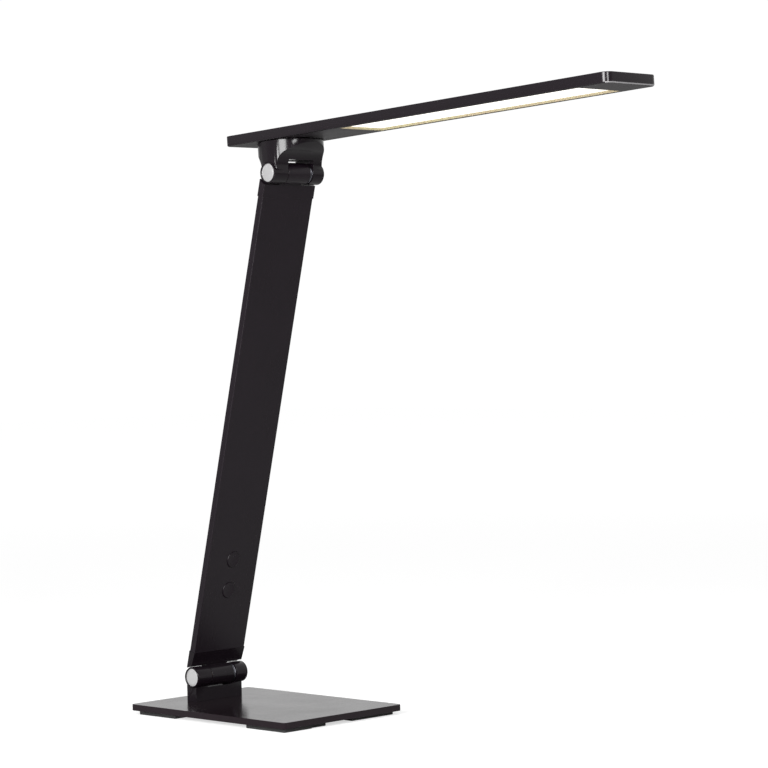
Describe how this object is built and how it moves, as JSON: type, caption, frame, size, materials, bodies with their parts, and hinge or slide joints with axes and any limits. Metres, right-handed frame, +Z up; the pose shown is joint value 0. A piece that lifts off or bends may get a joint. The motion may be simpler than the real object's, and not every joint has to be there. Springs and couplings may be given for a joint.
{
  "type": "folding led desk lamp",
  "caption": "Black folding desk lamp with a flat square-edged base, a flat arm with push buttons and a long flat light head that tilts and swivels.",
  "frame": {"origin": "middle of the base, on the plane that the feet stand on", "axes": "+X the way the head points, +Y along the hinge axes, +Z up"},
  "size_m": [0.4808, 0.13, 0.4857],
  "materials": {
    "black_plate": "satin black powder coat on steel",
    "black_casting": "satin black enamel on a zinc casting",
    "black_aluminium": "satin black anodised",
    "bright_cap": "turned face with fine rings",
    "steel": "plain turned steel",
    "black_screw": "blackened steel",
    "bronze": "plain rolled bronze",
    "foot_rubber": "matte black",
    "black_plastic": "fine matte grain",
    "button_plastic": "polished black",
    "disc_plastic": "slippery white plastic",
    "board": "green solder mask",
    "switch_metal": "tinned sheet",
    "cable": "flat white cable",
    "foam": "closed-cell foam",
    "diffuser": "frosted opal",
    "clear": "clear acrylic with a dot pattern",
    "white_sheet": "white reflective sheet",
    "led": "yellow phosphor"
  },
  "bodies": {
    "base": {"base_plate": "black_plate", "foot_front_left": "foot_rubber", "foot_front_right": "foot_rubber", "foot_back_left": "foot_rubber", "foot_back_right": "foot_rubber", "base_screws": "steel", "pedestal": "black_casting", "power_inlet": "black_plastic", "lower_pin": "steel", "lower_nut": "steel", "lower_friction_washer": "bronze", "lower_spring_washers": "steel", "lower_bright_cap": "bright_cap", "lower_dark_cap": "black_casting"},
    "arm": {"arm_lower_block": "black_casting", "arm_tube": "black_aluminium", "arm_upper_block": "black_casting", "lower_block_screws": "black_screw", "upper_block_screws": "black_screw", "switch_board": "board", "switch_foam": "foam", "switches": "switch_metal", "arm_cable": "cable"},
    "button_low": {"button_lower": "button_plastic"},
    "button_high": {"button_upper": "button_plastic"},
    "neck": {"neck": "black_casting", "upper_pin": "steel", "upper_nut": "steel", "upper_friction_washer": "bronze", "upper_spring_washers": "steel", "upper_bright_cap": "bright_cap", "upper_dark_cap": "black_casting", "friction_disc": "disc_plastic", "swivel_washer": "steel"},
    "head": {"swivel_bolt": "steel", "head_housing": "black_aluminium", "head_cover": "black_plastic", "mounting_block": "steel", "head_screws": "black_screw", "driver_board": "board", "diffuser": "diffuser", "light_guide": "clear", "reflector": "white_sheet", "led_board": "white_sheet", "leds": "led"}
  },
  "joints": [
    {"name": "arm_tilt", "type": "hinge", "parent": "base", "child": "arm", "pos_m": [-0.0578, 0, 0.0282], "axis": [0, 1, 0], "range_deg": [-30, 45]},
    {"name": "head_tilt", "type": "hinge", "parent": "arm", "child": "neck", "pos_m": [0.04386, 0, 0.43293], "axis": [0, 1, 0], "range_deg": [-45, 105]},
    {"name": "head_swivel", "type": "hinge", "parent": "neck", "child": "head", "pos_m": [0.04245, 0, 0.45849], "axis": [-0.055, 0, 0.9985], "range_deg": [-90, 90]},
    {"name": "press_lower", "type": "slide", "parent": "arm", "child": "button_low", "axis": [-0.9699, 0, 0.2436], "range_m": [0, 0.0005], "stiffness_N_per_m": 2000},
    {"name": "press_upper", "type": "slide", "parent": "arm", "child": "button_high", "axis": [-0.9699, 0, 0.2436], "range_m": [0, 0.0005], "stiffness_N_per_m": 2000}
  ]
}
